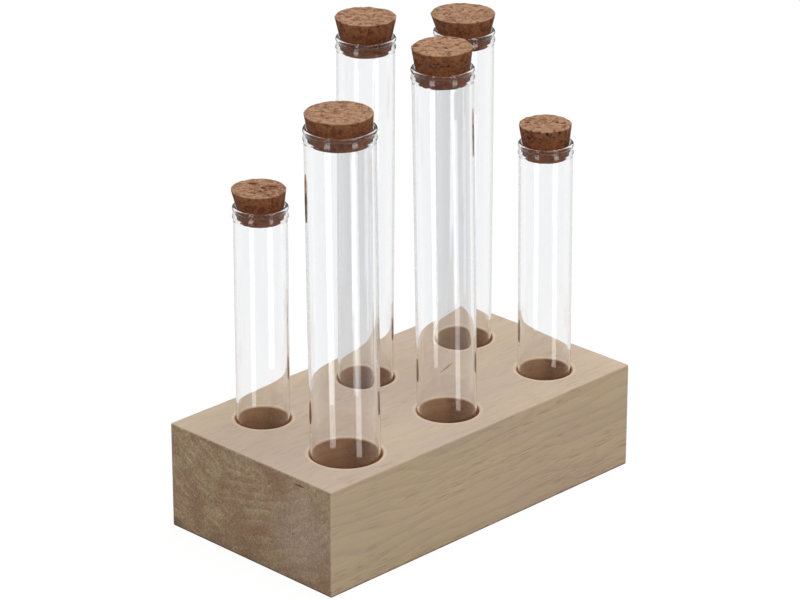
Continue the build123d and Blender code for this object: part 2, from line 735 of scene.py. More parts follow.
@dataclass(frozen=True)
class SandedPine:
    """Pale sanded pine, with growth rings round a line along X above the block, and sawn ends.

    Attributes:
        size: The block's length, width and height, in millimetres.
        bores: (x, y, radius) of each bore, in millimetres.
        pith: The rings' middle line, as (y, z) in millimetres.
        ring_width: Mean distance between rings, in millimetres.
        ring_tone: (place, darkness) of stops from one ring to the next.
        ring_share: How much the rings show on top and on the long sides.
        sways: Waves in a millimetre, roughness and reach in millimetres of each way that the
            rings wander.
        straw: Colour of the yellower patches of soft wood.
        rosy: Colour of the pinker patches.
        patches: Where those patches are.
        late: Colour of the rings.
        fleck_and_contact_shadow: Colour of the short dark dashes, and of the foot's painted shadow.
        streaks: What part of the fine streaks' pattern counts.
        streak_tone: Tone of the darkest and the lightest fine streaks.
        roughness: Roughness of the darkest and the lightest fine streaks.
        bands: Where dashes are thick.
        fewest_dashes: Share of the dashes that shows between those bands.
        dash_share: How much the dashes show on top and on the long sides.
        hair_share: How much the finest dashes show.
        side_shade_tint: Painted shade, darker and yellower: what the long sides' colour is
            multiplied by.
        end_facing: How far a face turned to X starts to be, and is, a sawn end.
        top_facing: How far a face turned to Z starts to be, and is, a top.
        olive: Lighter colour of the sawn ends.
        russet: Darker colour of the sawn ends.
        ashen: Colour of a greyer patch on the sawn ends.
        browning: What part of the pattern goes from the lighter colour to the darker one.
        sawn_ring_share: How much the rings show on the sawn ends.
        spot_share: How much the dark grains show there.
        ashen_at: Middle of the greyer patch.
        ashen_fade: Distances from it at which it starts to fade and ends.
        ashen_waves: Waves in a millimetre of the pattern that its outline follows.
        ashen_sway: How far its outline wanders.
        ashen_share: How much it shows.
        saw_way: Which way the saw's strokes run, as (y, z).
        stroke_fade: Where along Y the strokes start to show, and show most.
        stroke_share: How much they show there.
        bleached: Where the soft wood between rings is pale on the sawn ends.
        fuzz: The sawn ends' finest change of tone.
        drilled_and_shade_tint: Inside the bores, the drilled wood's browner tone and painted shade.
        pale_wear_and_highlight: Colour of the sanded wear and of the painted highlights.
        drilled: Distances from a bore's wall at which that tint starts to fade and ends.
        mouth_highlight: Distances from a bore at which its painted highlight starts to fade and
            ends.
        edge_band: Distances from an edge at which its wear and painted highlight start to fade and
            end.
        contact_shadow_band: Heights at which the foot's painted contact shadow starts to fade and
            ends.
        relief: Share of the streaks, the rings, the dashes and the sawn ends' grain in the relief.
        relief_depth: How deep the relief is.
        flaws: The flaws that are seen from the front.
    """

    size: Triple
    bores: tuple[Triple, ...]
    pith: Span = (8.0, 105.0)
    ring_width: float = 4.6
    ring_tone: tuple[Span, ...] = ((0.0, 0.0), (0.45, 0.15), (0.8, 0.8), (0.9, 1.0), (1.0, 0.0))
    ring_share: Span = (0.16, 0.50)
    sways: tuple[tuple[Triple, float, float], ...] = (
        ((0.011, 0.022, 0.022), 0.45, 24.0), ((0.05, 0.25, 0.25), 0.5, 1.6))
    straw: Colour = (0.585, 0.468, 0.345, 1)
    rosy: Colour = (0.57, 0.445, 0.355, 1)
    patches: Cloud = Cloud((0.016, 0.05, 0.07), (0.38, 0.62), detail=3.0)
    late: Colour = (0.46, 0.33, 0.225, 1)
    fleck_and_contact_shadow: Colour = (0.29, 0.15, 0.095, 1)
    streaks: Span = (0.3, 0.7)
    streak_tone: Span = (0.94, 1.05)
    roughness: Span = (0.64, 0.8)
    bands: Cloud = Cloud((0.012, 0.11, 0.11), (0.36, 0.66))
    fewest_dashes: float = 0.2
    dash_share: Span = (0.30, 0.42)
    hair_share: float = 0.2
    side_shade_tint: Colour = (0.98, 0.955, 0.82, 1)
    end_facing: Span = (0.55, 0.9)
    top_facing: Span = (0.5, 0.9)
    olive: Colour = (0.435, 0.325, 0.19, 1)
    russet: Colour = (0.33, 0.20, 0.12, 1)
    ashen: Colour = (0.45, 0.335, 0.255, 1)
    browning: Span = (0.62, 0.88)
    sawn_ring_share: float = 0.34
    spot_share: float = 0.55
    ashen_at: Triple = (0.0, -33.0, 24.0)
    ashen_fade: Span = (20.0, 38.0)
    ashen_waves: float = 1 / 13
    ashen_sway: float = 22.0
    ashen_share: float = 0.75
    saw_way: Span = (0.88, 0.47)
    stroke_fade: Span = (-25.0, 15.0)
    stroke_share: Span = (0.03, 0.2)
    bleached: Cloud = Cloud((1 / 17, 1 / 17, 1 / 17), (0.44, 0.62), (0.0, 0.17), rough=0.6)
    fuzz: Cloud = Cloud((1.3, 1.3, 1.3), (0.34, 0.66), (0.74, 1.24), rough=0.7, smooth=False)
    drilled_and_shade_tint: Colour = (0.98, 0.70, 0.50, 1)
    pale_wear_and_highlight: Colour = (0.70, 0.57, 0.44, 1)
    drilled: Span = (0.1, 0.35)
    mouth_highlight: Span = (1.2, 2.2)
    edge_band: Span = (0.7, 1.3)
    contact_shadow_band: Span = (0.9, 1.7)
    relief: tuple[float, ...] = (0.6, 0.2, -0.5, 2.2)
    relief_depth: float = 0.12 * MM
    flaws: tuple[Flaw, ...] = (
        Flaw((34.5, 6.5, 50.0), (7.0, 0.5, 2.0), slant=0.26, depth=0.9),
        Flaw((-95.0, -31.5, 47.0), (2.0, 3.6, 0.55), depth=0.85),
        Flaw((-95.0, -27.2, 22.6), (2.0, 0.5, 0.5), depth=0.8),
        Flaw((-95.0, 47.5, 2.5), (2.0, 5.0, 2.5), depth=0.5),
        Flaw((-95.0, 11.0, 30.5), (2.0, 0.6, 0.5), depth=0.6),
    )

    def material(self) -> Material:
        """Build the wood.

        Returns:
            The material, on Object coordinates.
        """
        material, sheet = new_material("sanded_pine")
        place, normal = sheet.surface()
        facing_x, _, facing_z = sheet.split(normal)
        end_grain = sheet.remap(sheet.math("ABSOLUTE", facing_x), *self.end_facing, smooth=True)
        upward = sheet.remap(sheet.math("ABSOLUTE", facing_z), *self.top_facing, smooth=True)
        long_grain = sheet.math("SUBTRACT", 1.0, end_grain)
        sideways = sheet.math("SUBTRACT", long_grain, upward, clamp=True)

        late_wood = self.rings(sheet, place)
        fibres = sheet.group(Effect.fibres(), Place=place, Length=28.0, Width=0.5, Dash_level=0.58)
        fine = sheet.group(Effect.fibres(), Place=place, Length=12.0, Width=0.25, Dash_level=0.69)
        speckle = sheet.group(Effect.speckle(), Place=place, Grain_size=0.9, Spot_level=0.64)
        drawn_out = sheet.vector("MULTIPLY", place, (0.3, 1.0, 1.0))
        mottle = sheet.group(Effect.mottle(), Place=drawn_out, Patch=22.0, Depth=0.09)

        colour = sheet.mix(self.patches.on(sheet, place), self.straw, self.rosy)
        # Painted shade: the long sides darker and yellower than the top.
        colour = sheet.mix(sideways, colour, self.side_shade_tint, "MULTIPLY")
        ring_share = sheet.remap(sideways, 0.0, 1.0, *self.ring_share)
        colour = sheet.lay(colour, self.late, late_wood, ring_share)
        streak_tone = sheet.remap(fibres.outputs["Streaks"], *self.streaks, *self.streak_tone)
        colour = sheet.tone(sheet.tone(colour, streak_tone), mottle.outputs["Tone"])

        thick = sheet.math("ADD", self.bands.on(sheet, place), self.fewest_dashes, clamp=True)
        dash = sheet.math("MULTIPLY", fibres.outputs["Dashes"], thick)
        dash = sheet.math("MULTIPLY", dash, long_grain)
        dash_share = sheet.remap(sideways, 0.0, 1.0, *self.dash_share)
        colour = sheet.lay(colour, self.fleck_and_contact_shadow, dash, dash_share)
        hair = sheet.math("MULTIPLY", fine.outputs["Dashes"], long_grain)
        colour = sheet.lay(colour, self.fleck_and_contact_shadow, hair, self.hair_share)

        colour = sheet.mix(end_grain, colour, self.sawn(sheet, place, late_wood, speckle))
        colour = self.bored(sheet, place, colour, facing_z)
        colour = self.edged(sheet, place, colour)
        for flaw in self.flaws:
            colour = sheet.mix(flaw.mask(sheet, place), colour, self.fleck_and_contact_shadow, "MULTIPLY")

        end_height = sheet.math("MULTIPLY", speckle.outputs["Grain"], end_grain)
        layers = (fine.outputs["Streaks"], late_wood, dash, end_height)
        sheet.send(sheet.shade(
            "BsdfPrincipled", Base_Color=colour, Specular_IOR_Level=0.3,
            Roughness=sheet.remap(fine.outputs["Streaks"], *self.streaks, *self.roughness),
            Normal=sheet.bump(sheet.total(*zip(layers, self.relief)), 0.5, self.relief_depth)))
        return material

    def rings(self, sheet: NodeSheet, place: Socket) -> Socket:
        """Find how far into the late wood of a growth ring a point is.

        Args:
            sheet: The material's sheet.
            place: The point, in millimetres.

        Returns:
            0 in the soft wood and 1 in a ring.
        """
        moved = place
        for waves, rough, reach in self.sways:
            waved = sheet.vector("MULTIPLY", place, waves)
            swayed = sheet.noise(waved, rough=rough, colour=True)
            sway = sheet.vector("SUBTRACT", swayed, (0.5, 0.5, 0.5))
            moved = sheet.vector("ADD", moved, sheet.vector("MULTIPLY", sway, (0.0, reach, reach)))
        distance = sheet.distance(moved, (0.0, *self.pith), (0.0, 1.0, 1.0))
        ring = sheet.math("FRACT", sheet.math("DIVIDE", distance, self.ring_width))
        return sheet.ramp(ring, self.ring_tone)

    def sawn(self, sheet: NodeSheet, place: Socket, late_wood: Socket,
             speckle: Node) -> Socket:
        """Colour the sawn ends: fuzzy grain, faint rings, pale saw strokes and a greyer patch.

        Args:
            sheet: The material's sheet.
            place: The point, in millimetres.
            late_wood: How far into a ring it is.
            speckle: The node of the shared grains.

        Returns:
            The colour.
        """
        patch = sheet.noise(place, self.ashen_waves, detail=3.0, rough=0.6)
        share = sheet.total((patch, 0.8), (speckle.outputs["Grain"], 0.7))
        colour = sheet.mix(sheet.remap(share, *self.browning, smooth=True), self.olive, self.russet)
        from_ashen = sheet.distance(place, self.ashen_at, (0.0, 1.0, 1.0))
        near_ashen = sheet.total((from_ashen, 1.0), (patch, self.ashen_sway))
        ashy = sheet.remap(near_ashen, *self.ashen_fade, self.ashen_share, 0.0, smooth=True)
        colour = sheet.mix(ashy, colour, self.ashen)
        colour = sheet.lay(colour, self.russet, late_wood, self.sawn_ring_share)
        soft = sheet.remap(late_wood, 0.16, 0.0)
        colour = sheet.lay(colour, self.pale_wear_and_highlight, soft, self.bleached.on(sheet, place))

        y, z = self.saw_way
        turned = sheet.join(sheet.vector("DOT_PRODUCT", place, (0.0, y, z)),
                            sheet.vector("DOT_PRODUCT", place, (0.0, -z, y)))
        strokes = sheet.group(Effect.fibres(), Place=turned, Length=20.0, Width=1.3,
                              Dash_level=0.60)
        stroke_share = sheet.remap(sheet.split(place)[1], *self.stroke_fade, *self.stroke_share,
                                   smooth=True)
        colour = sheet.lay(colour, self.pale_wear_and_highlight, strokes.outputs["Dashes"], stroke_share)
        colour = sheet.tone(colour, self.fuzz.on(sheet, place))
        return sheet.lay(colour, self.fleck_and_contact_shadow, speckle.outputs["Dark spots"], self.spot_share)

    def bored(self, sheet: NodeSheet, place: Socket, colour: Socket, upward: Socket) -> Socket:
        """Brown the bores' inside, partly with painted shade, and paint a narrow highlight round
        each mouth.

        Args:
            sheet: The material's sheet.
            place: The point, in millimetres.
            colour: The wood's colour so far.
            upward: How far the surface faces up.

        Returns:
            The colour.
        """
        gap: float | Socket = max(self.size)
        for x, y, radius in self.bores:
            distance = sheet.distance(place, (x, y, 0.0), (1.0, 1.0, 0.0))
            gap = sheet.math("MINIMUM", gap, sheet.math("SUBTRACT", distance, radius))
        # Painted highlight: a paler ring round each mouth, on faces that look up.
        ring = sheet.remap(gap, *self.mouth_highlight, 0.6, 0.0)
        colour = sheet.lay(colour, self.pale_wear_and_highlight, ring, sheet.remap(upward, 0.4, 0.9))
        # The drilled wood's browner tone inside the bores, with painted shade.
        inside = sheet.remap(gap, *self.drilled, 1.0, 0.0)
        return sheet.mix(inside, colour, self.drilled_and_shade_tint, "MULTIPLY")

    def edged(self, sheet: NodeSheet, place: Socket, colour: Socket) -> Socket:
        """Lighten the edges, partly as wear and partly as painted highlight, and paint a shadow
        along the foot.

        Args:
            sheet: The material's sheet.
            place: The point, in millimetres.
            colour: The wood's colour so far.

        Returns:
            The colour.
        """
        half = tuple(side / 2 for side in self.size)
        from_middle = sheet.vector("SUBTRACT", place, (0.0, 0.0, half[2]))
        inwards = sheet.vector("SUBTRACT", half, sheet.vector("ABSOLUTE", from_middle))
        x, y, z = sheet.split(inwards)
        deepest = sheet.math("MAXIMUM", sheet.math("MAXIMUM", x, y), z)
        all_round = sheet.vector("DOT_PRODUCT", inwards, (1.0, 1.0, 1.0))
        to_edge = sheet.math("SUBTRACT", all_round, deepest)
        ragged = sheet.math("MULTIPLY", sheet.noise(place, 0.5), 0.9)
        # Paler band along the edges: partly sanding wear, partly painted highlight.
        edge = sheet.remap(sheet.math("ADD", to_edge, ragged), *self.edge_band, 0.2, 0.0)
        colour = sheet.mix(edge, colour, self.pale_wear_and_highlight)
        # Painted contact shadow: a dark band along the foot, where the block meets the floor.
        above_foot = sheet.math("ADD", sheet.split(place)[2], ragged)
        rim = sheet.remap(above_foot, *self.contact_shadow_band, 0.9, 0.0)
        return sheet.mix(rim, colour, self.fleck_and_contact_shadow, "MULTIPLY")


@dataclass(frozen=True)
class ClearGlass:
    """Thin clear glass that lets lamps through.

    Attributes:
        tint: Colour that is left of white after one surface.
        bending: Refractive index.
        lets_through: Share of a lamp's light that it lets through.
    """

    tint: Colour = (0.984, 0.989, 0.994, 1)
    bending: float = 1.48
    lets_through: float = 0.99

    def material(self) -> Material:
        """Build the glass.

        Returns:
            The material.
        """
        material, sheet = new_material("clear_glass")
        shader = sheet.shade("BsdfPrincipled", Base_Color=self.tint, Roughness=0.0,
                             IOR=self.bending, Transmission_Weight=1.0)
        open_way = sheet.shade("BsdfTransparent", Color=grey(self.lets_through))
        sheet.send(sheet.choose(sheet.any_ray(Ray.SHADOW, Ray.DIFFUSE), shader, open_way))
        return material


@dataclass(frozen=True)
class PressedCork:
    """Cork with soft granules and small dark pits, and painted shade on its sides, deeper in the
    glass.

    Attributes:
        pale: Colour of the lightest granules.
        brown: Colour of the darkest granules.
        ruddy: Colour of a few redder granules.
        pit: Colour deep in a pit.
        rubbed: Colour of the top's rubbed edge.
        side_shade_tint: Painted shade on the sides: what their colour is multiplied by at the head.
        foot_shade_tint: Deeper painted shade: what the sides' colour is multiplied by inside the
            glass.
        top_facing: How far a face turned up starts to be, and is, the top.
        sinking: How far down from the top, where 1 is the rim, the sides' painted shade starts to
            deepen and has deepened.
        browning: What part of the pattern goes from the lightest granules to the darkest ones.
        reddened: Where the redder granules are.
        spot_share: How much the finest dark spots show.
        lip_share: How much the rubbed edge shows.
        pit_edge: How deep a pit's ruddy edge starts to show, and shows most.
        pit_floor: How deep a pit's dark floor starts to show, and is all that shows.
        relief_depth: How deep the relief is.
    """

    pale: Colour = (0.41, 0.24, 0.14, 1)
    brown: Colour = (0.17, 0.078, 0.038, 1)
    ruddy: Colour = (0.27, 0.095, 0.045, 1)
    pit: Colour = (0.055, 0.02, 0.01, 1)
    rubbed: Colour = (0.56, 0.36, 0.23, 1)
    side_shade_tint: Colour = (0.68, 0.47, 0.33, 1)
    foot_shade_tint: Colour = (0.50, 0.27, 0.13, 1)
    top_facing: Span = (0.25, 0.8)
    sinking: Span = (0.1, 1.1)
    browning: Span = (0.46, 0.80)
    reddened: Cloud = Cloud((0.45, 0.45, 0.45), (0.48, 0.68), (0.0, 0.55), rough=0.6,
                            smooth=False)
    spot_share: float = 0.6
    lip_share: float = 0.75
    pit_edge: Span = (0.08, 0.3)
    pit_floor: Span = (0.25, 0.75)
    relief_depth: float = 0.25 * MM

    def material(self) -> Material:
        """Build the cork.

        Returns:
            The material, on Object coordinates and the stopper's own marks.
        """
        material, sheet = new_material("pressed_cork")
        place, normal = sheet.surface()
        granule, pitted, sunk, lip = (
            sheet.add("Attribute", attribute_name=mark).outputs["Fac"] for mark in Stopper.MARKS)

        speckle = sheet.group(Effect.speckle(), Place=place, Grain_size=1.1, Spot_level=0.57)
        mottle = sheet.group(Effect.mottle(), Place=place, Patch=6.0, Depth=0.20)
        share = sheet.total((granule, 0.20), (speckle.outputs["Grain"], 1.0))
        colour = sheet.mix(sheet.remap(share, *self.browning), self.pale, self.brown)
        colour = sheet.mix(self.reddened.on(sheet, place), colour, self.ruddy)
        colour = sheet.tone(colour, mottle.outputs["Tone"])
        # Painted shade: the sides darker than the top, and darker still down inside the glass.
        side = sheet.remap(sheet.split(normal)[2], *self.top_facing, 1.0, 0.0, smooth=True)
        deep = sheet.remap(sunk, *self.sinking, smooth=True)
        tint = sheet.mix(deep, self.side_shade_tint, self.foot_shade_tint)
        colour = sheet.mix(side, colour, tint, "MULTIPLY")
        colour = sheet.lay(colour, self.pit, speckle.outputs["Dark spots"], self.spot_share)
        colour = sheet.lay(colour, self.rubbed, lip, self.lip_share)
        colour = sheet.mix(sheet.remap(pitted, *self.pit_edge, 0.0, 0.7), colour, self.ruddy)
        colour = sheet.mix(sheet.remap(pitted, *self.pit_floor), colour, self.pit)
        sheet.send(sheet.shade(
            "BsdfPrincipled", Base_Color=colour, Roughness=0.85, Specular_IOR_Level=0.25,
            Normal=sheet.bump(speckle.outputs["Grain"], 0.9, self.relief_depth)))
        return material


@dataclass(frozen=True)
class PaleFloor:
    """A polished white floor: plain white where it is looked at, a mirror to what glass reflects.

    Attributes:
        paint: Colour that lamps meet.
        seen_paint: Brightness of the paint that the camera sees the shadow on.
        glow: Share of plain white that the camera sees above that paint.
        brightness: How bright that white is, seen through one tube and through two.
        polish: Share of the room that the floor mirrors.
        haze: What the mirror adds of its own white.
    """

    paint: Colour = (0.70, 0.70, 0.70, 1)
    seen_paint: float = 0.95
    glow: float = 0.92
    brightness: Span = (1.03, 0.83)
    polish: float = 0.9
    haze: float = 0.03

    def material(self) -> Material:
        """Build the floor's finish.

        Returns:
            The material.
        """
        material, sheet = new_material("pale_floor")
        paint = sheet.shade("BsdfDiffuse", Color=self.paint)
        seen = sheet.shade("BsdfDiffuse", Color=grey(self.seen_paint))
        light = sheet.shade("Emission", Strength=sheet.white_through(self.brightness))
        white = sheet.choose(self.glow, seen, light)
        mirror = sheet.shade("BsdfGlossy", Color=grey(self.polish), Roughness=0.0)
        haze = sheet.shade("Emission", Strength=self.haze)
        polished = sheet.add("AddShader")
        sheet.feed(polished.inputs[0], mirror.outputs[0])
        sheet.feed(polished.inputs[1], haze.outputs[0])
        looked_at = sheet.choose(sheet.any_ray(Ray.CAMERA, Ray.TRANSMISSION), paint, white)
        sheet.send(sheet.choose(sheet.after_mirror(), looked_at, polished))
        return material


@dataclass(frozen=True)
class Seat:
    """Where a tube stands.

    Attributes:
        foot: The lowest point of the tube's dome.
        up: The way the tube's axis points.
    """

    foot: Vector
    up: Vector

    def matrix(self) -> Matrix:
        """Give the place of a piece that was turned upright about the world's Z axis."""
        lean = Vector((0, 0, 1)).rotation_difference(self.up).to_matrix().to_4x4()
        return Matrix.Translation(self.foot) @ lean


@dataclass
class TestTube:
    """A glass tube with a domed bottom, a neck with a ridge and a groove, and a rolled rim.

    Attributes:
        diameter: Outer diameter of the body.
        length: From the bottom of the dome to the top of the rim.
        wall: Thickness of the glass.
        bead_radius: Radius of the rolled rim's round section.
        bead_proud: How far the rim stands out from the body.
        groove_drop: From the top of the rim down to the groove.
        groove_depth: How far the groove lies inside the body's surface.
        ridge_drop: From the top of the rim down to the ridge.
        ridge_proud: How far the ridge stands out from the body.
        neck_length: From the top of the rim down to where the neck starts.
        brace: Length of the short rings that keep the long walls' shading straight.
        sides: How many faces go round.
        dome_steps: How many go up the dome, outside and inside.
        neck_steps: How many go up each run of the neck.
        bead_steps: How many go up the hollow under the rim, and round the rim.
        crease: Angle in degrees from which an edge stays sharp.
    """

    diameter: float
    length: float
    wall: float = 0.8 * MM
    bead_radius: float = 0.95 * MM
    bead_proud: float = 0.4 * MM
    groove_drop: float = 2.6 * MM
    groove_depth: float = 0.1 * MM
    ridge_drop: float = 4.3 * MM
    ridge_proud: float = 0.45 * MM
    neck_length: float = 6.8 * MM
    brace: float = 0.5 * MM
    sides: int = 144
    dome_steps: tuple[int, int] = (28, 26)
    neck_steps: int = 8
    bead_steps: tuple[int, int] = (5, 18)
    crease: float = 30.0

    @property
    def radius(self) -> float:
        """Outer radius of the body."""
        return self.diameter / 2

    @property
    def bead_centre(self) -> Span:
        """Middle of the rolled rim's round section, as (distance from the axis, height)."""
        return (self.radius + self.bead_proud - self.bead_radius, self.length - self.bead_radius)

    def build(self, name: str) -> Piece:
        """Turn the tube, upright, with the bottom of its dome at the origin.

        Args:
            name: The piece's name.

        Returns:
            The tube.
        """
        outer = self.radius
        inner = outer - self.wall
        neck_foot = self.length - self.neck_length
        ridge = (outer + self.ridge_proud, self.length - self.ridge_drop)
        groove = (outer - self.groove_depth, self.length - self.groove_drop)
        reach = groove[0] - self.bead_centre[0]
        drop = self.bead_centre[1] - groove[1]
        hollow = (reach**2 + drop**2 - self.bead_radius**2) / (2 * (self.bead_radius - reach))
        under = math.degrees(math.atan2(drop, reach + hollow))
        to_wall = self.bead_centre[0] - groove[0] + self.wall
        lip = math.degrees(math.acos(to_wall / self.bead_radius))

        outline = Outline()
        outline.arc((0, outer), outer, -90, 0, steps=self.dome_steps[0])
        outline.to(outer, outer + self.brace)
        outline.to(outer, neck_foot - self.brace)
        outline.to(outer, neck_foot)
        outline.swell(*ridge, steps=self.neck_steps)
        outline.to(*groove, steps=self.neck_steps)
        outline.arc((groove[0] + hollow, groove[1]), hollow, 180, 180 - under,
                    steps=self.bead_steps[0])
        outline.arc(self.bead_centre, self.bead_radius, -under, 180 + lip,
                    steps=self.bead_steps[1])
        outline.to(groove[0] - self.wall, groove[1])
        outline.to(ridge[0] - self.wall, ridge[1], steps=self.neck_steps)
        outline.swell(inner, neck_foot, steps=self.neck_steps)
        outline.to(inner, neck_foot - self.brace)
        outline.to(inner, outer + self.brace)
        outline.to(inner, outer)
        outline.arc((0, outer), inner, 0, -90, steps=self.dome_steps[1])
        tube = outline.turn(name, self.sides)
        Bench.smooth(tube, self.crease)
        return tube


@dataclass(frozen=True)
class Wound:
    """A broken place in a cork, in millimetres.

    Attributes:
        at: Its middle: (x, y) from the axis on the top, or (angle round the axis in degrees,
            distance below the top) on the side.
        size: Its full width, level across the camera's view, and its depth or height.
        openness: How much of it is an open dark hole rather than crumbs.
        on_side: Whether it is in the side.
    """

    at: Span
    size: Span
    openness: float = 0.35
    on_side: bool = False

    def distance(self, point: Vector, normal: Vector, head: float) -> float:
        """Find how far a point of the surface is from the middle of the wound.

        Args:
            point: The point.
            normal: The surface's normal there.
            head: Height of the cork's top.

        Returns:
            The distance, where 1 is the wound's edge.
        """
        if self.on_side == (normal.z > FACING_UP):
            return math.inf
        if self.on_side:
            angle = math.atan2(point.y, point.x) - math.radians(self.at[0])
            aside = math.remainder(angle, FULL_TURN) * point.xy.length / MM
            down = (head - point.z) / MM - self.at[1]
            return 2 * math.hypot(aside / self.size[0], down / self.size[1])
        x, y = point.x / MM - self.at[0], point.y / MM - self.at[1]
        return math.sqrt(2) * math.hypot((x - y) / self.size[0], (x + y) / self.size[1])


@dataclass
class Stopper:
    """A tapered cork: a plug that the tube's mouth squeezes, and a wider head above it.

    Attributes:
        top: Diameter of the flat top.
        stand: Height of the top above the tube's rim.
        tube: The tube that it closes.
        plug: How deep it goes into the tube.
        plug_taper: How much narrower the foot is than the squeezed neck, on the radius.
        gap: Clearance to the rolled rim.
        granule: Size of a cork granule.
        pit_depth: Depth of the deepest pits.
        crumble: How far the top edge may have crumbled.
        frayed: How far from the top edge it may have crumbled.
        lip: Width of the rubbed edge.
        seam: Width of the seam between two granules, as a share of a granule.
        coarse: How broken the surface is, from 0 to 1.
        tilt: How far the head is pushed over, towards -X and +Y.
        wounds: Its broken places.
        grid: Distance between the points of its surface.
    """

    # Marks on the surface that the cork's finish reads: a granule's own number, how far into a pit
    # a point is, how far down from the top to the glass, and how far onto the rubbed edge
    MARKS = ("granule", "pit", "sunk", "lip")
    # Waves in a granule's width of the patterns that the seams, the frayed edge, the pits, the
    # crumbs in a wound and a wound's outline follow
    SEAM_WAVES, FRAYED_WAVES, PIT_WAVES, CRUMB_WAVES, TORN_WAVES = 0.6, 0.7, 1.3, 2.6, 2.2

    top: float
    stand: float
    tube: TestTube
    plug: float = 6.5 * MM
    plug_taper: float = 0.1 * MM
    gap: float = 0.15 * MM
    granule: float = 2.3 * MM
    pit_depth: float = 0.55 * MM
    crumble: float = 0.45 * MM
    frayed: float = 2.0 * MM
    lip: float = 0.8 * MM
    seam: float = 0.14
    coarse: float = 0.5
    tilt: float = 0.0
    wounds: tuple[Wound, ...] = ()
    grid: float = 0.42 * MM

    def build(self, name: str, seed: Vector) -> Piece:
        """Turn the cork, upright in the tube's own frame, and break its surface into granules.

        Args:
            name: The piece's name.
            seed: A shift that makes this cork's granules its own.

        Returns:
            The cork.
        """
        neck = self.tube.bead_centre[0] - self.tube.bead_radius - self.gap
        foot = self.tube.length - self.plug
        squeezed = self.tube.bead_centre[1]
        head = self.tube.length + self.stand
        edge = self.grid
        plug_radius, top_radius = neck - self.plug_taper, self.top / 2
        outline = Outline()
        outline.to(0.0, foot)
        for point in ((plug_radius - edge, foot), (plug_radius, foot + edge), (neck, squeezed),
                      (top_radius, head - edge), (top_radius - edge, head), (0.0, head)):
            run = math.dist(outline.points[-1], point)
            outline.to(*point, steps=max(1, round(run / self.grid)))
        cork = outline.turn(name, steps=round(math.pi * self.top / self.grid))
        self.sculpt(cork, seed, head)
        Bench.smooth(cork)
        return cork

    def sculpt(self, cork: Piece, seed: Vector, head: float) -> None:
        """Press pits, wounds, seams and a crumbled top edge into the cork, and mark them.

        Args:
            cork: The smooth cork.
            seed: A shift that makes this cork's granules its own.
            head: Height of the cork's top.
        """
        mesh = cork.data
        for mark in self.MARKS:
            mesh.attributes.new(mark, "FLOAT", "POINT")
        granules, pits, sunk, lips = (mesh.attributes[mark].data for mark in self.MARKS)
        mouth, squeezed = self.tube.length, self.tube.bead_centre[1]
        way_over = Vector((-1, 1, 0)).normalized() * self.tilt
        normals = [vertex.normal.copy() for vertex in mesh.vertices]
        for vertex, normal in zip(mesh.vertices, normals):
            at = vertex.co / self.granule + seed
            near, cells = noise.voronoi(at)
            seam = clamp(1 - (near[1] - near[0]) / self.seam)
            seam *= max(0.0, noise.noise(at * self.SEAM_WAVES) + 0.1 + 0.3 * self.coarse)
            hollow = self.hollow(vertex.co, normal, at, seed, head)
            to_edge = math.hypot(head - vertex.co.z, self.top / 2 - vertex.co.xy.length)
            frayed = noise.noise(at * self.FRAYED_WAVES - seed)
            frayed = max(0.0, frayed - 0.25 + 0.4 * self.coarse)
            broken = clamp(1 - to_edge / self.frayed) * frayed * 1.5
            depth = self.pit_depth * (0.3 * seam + hollow) + self.crumble * clamp(broken)
            granules[vertex.index].value = noise.cell(cells[0] * 7.3)
            pits[vertex.index].value = clamp(0.35 * seam + 0.75 * hollow + 0.25 * broken)
            lips[vertex.index].value = clamp(1 - to_edge / self.lip) * clamp(1 - 2 * broken)
            rise = (vertex.co.z - squeezed) / (head - squeezed)
            vertex.co -= normal * depth
            vertex.co += way_over * max(0.0, rise)
            sunk[vertex.index].value = min(1.5, (head - vertex.co.z) / (head - mouth))

    def hollow(self, point: Vector, normal: Vector, at: Vector, seed: Vector,
               head: float) -> float:
        """Find how far a point lies in a pit or a wound.

        Args:
            point: The point.
            normal: The surface's normal there.
            at: The point, in granules, moved by the seed.
            seed: A shift that makes this cork's granules its own.
            head: Height of the cork's top.

        Returns:
            0 on sound cork and 1 in the deepest hollow.
        """
        pit_level = 0.56 - 0.20 * self.coarse
        hollow = clamp((noise.noise(at * self.PIT_WAVES + seed) - pit_level) / 0.2)
        spots = clamp(0.3 + 1.6 * noise.noise(at * self.CRUMB_WAVES))
        for wound in self.wounds:
            ragged = wound.distance(point, normal, head)
            ragged += 0.4 * noise.noise(at * self.TORN_WAVES)
            inside = clamp((1.2 - ragged) * 1.6)
            hollow = max(hollow, inside * (wound.openness + (1 - wound.openness) * spots))
        return hollow


@dataclass
class Station:
    """One bore of the block, with the tube and the cork that stand in it.

    Attributes:
        row: Which row the bore is in.
        column: Which column it is in.
        tube: The glass tube.
        cork: The cork.
    """

    row: Row
    column: Column
    tube: TestTube
    cork: Stopper

    @classmethod
    def fitted(cls, row: Row, column: Column, tube: Span, cork: Span, coarse: float, tilt: float,
               wounds: tuple[Wound, ...] = ()) -> "Station":
        """Make a station from its sizes in millimetres.

        Args:
            row: Which row the bore is in.
            column: Which column it is in.
            tube: The tube's outer diameter and its length.
            cork: Diameter of the cork's top, and its height above the rim.
            coarse: How broken the cork's surface is, from 0 to 1.
            tilt: How far the cork's head is pushed over.
            wounds: The cork's broken places.

        Returns:
            The station.
        """
        glass = TestTube(tube[0] * MM, tube[1] * MM)
        stopper = Stopper(cork[0] * MM, cork[1] * MM, glass, coarse=coarse, tilt=tilt * MM,
                          wounds=wounds)
        return cls(row, column, glass, stopper)

    @property
    def name(self) -> str:
        """The station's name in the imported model."""
        return f"{self.row.name.lower()}_{self.column.name.lower()}"


